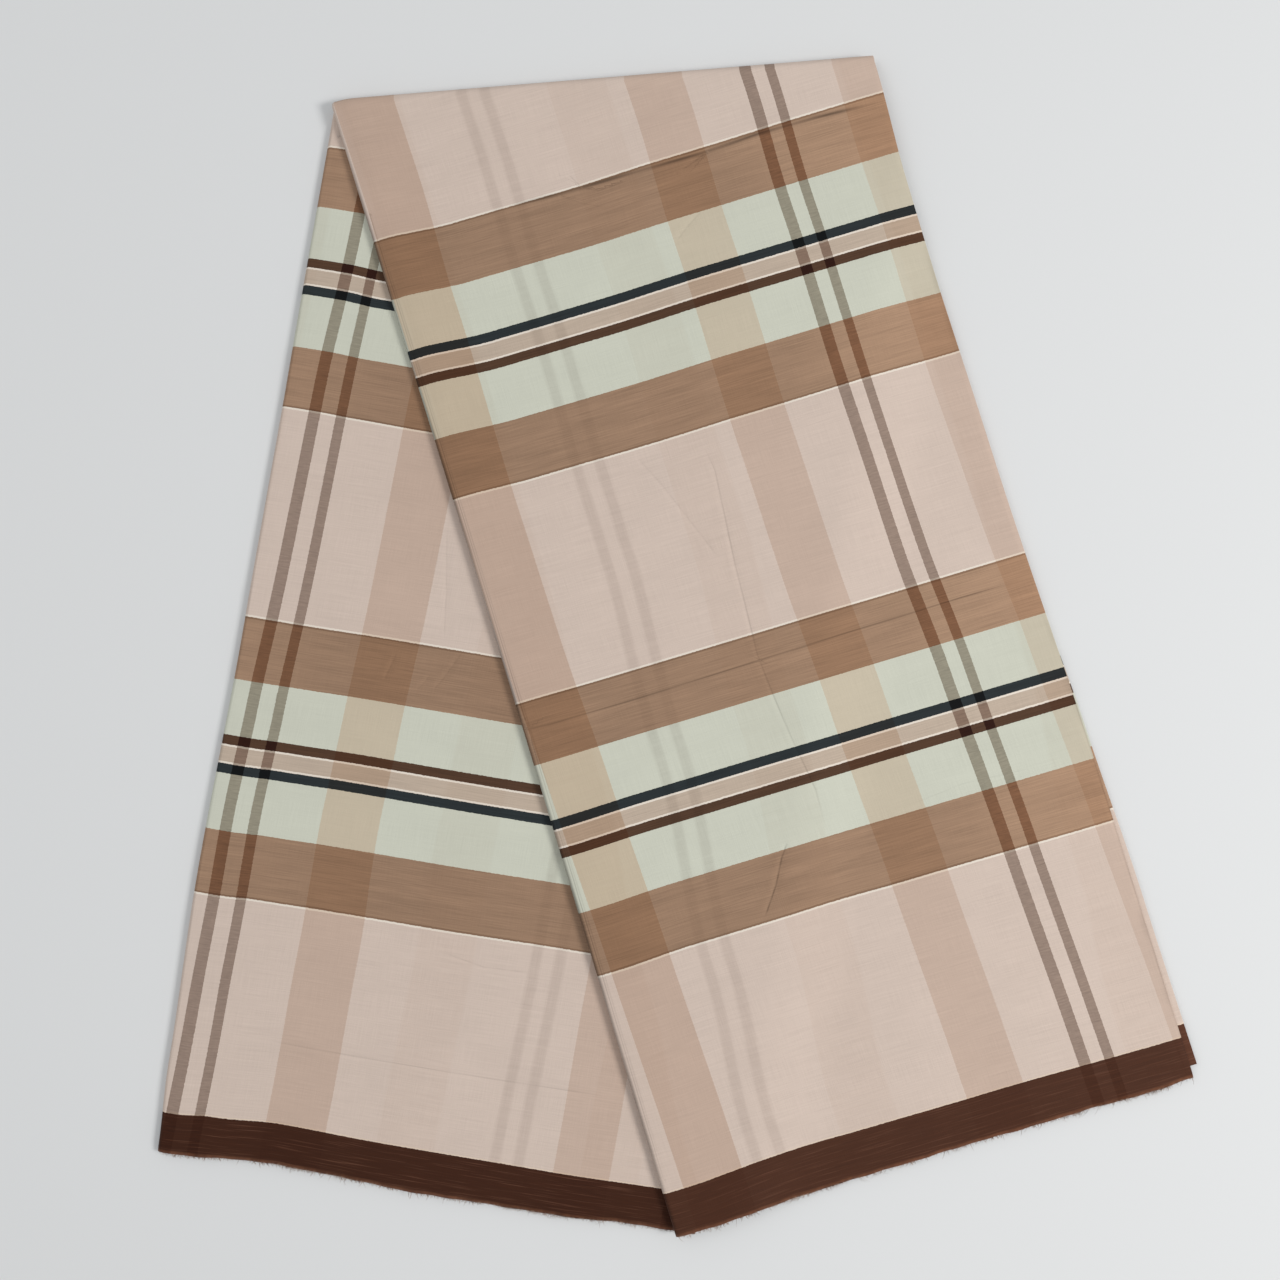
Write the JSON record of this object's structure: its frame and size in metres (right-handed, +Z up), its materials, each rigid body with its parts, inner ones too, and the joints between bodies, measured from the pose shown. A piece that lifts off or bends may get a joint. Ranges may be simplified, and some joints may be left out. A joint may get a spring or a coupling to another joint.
{
  "type": "folded lungi",
  "caption": "Checked cotton lungi folded into a long flat band and laid folded once more across, its two legs spread from a slanting top fold.",
  "frame": {"origin": "centre of the bounding box's underside, on the floor that the folded cloth lies on", "axes": "+Y towards the top fold, +Z up off the floor, +X to the right as seen from above with the top fold away from the viewer"},
  "size_m": [0.538, 0.626, 0.0092],
  "materials": {
    "checked_cotton": "fine plain-woven cotton with a slight sheen, pale pink ground with tan, white, black and brown cross stripes, pink and grey lengthwise stripes and a dark brown hem border",
    "checked_cotton_layers": "the same plain-woven cotton, seen as stacked fold and hem edges"
  },
  "bodies": {
    "root": {"upper_leg_face": "checked_cotton", "lower_leg_face": "checked_cotton", "upper_leg_second_layer": "checked_cotton", "hidden_layers": "checked_cotton_layers"}
  },
  "joints": []
}
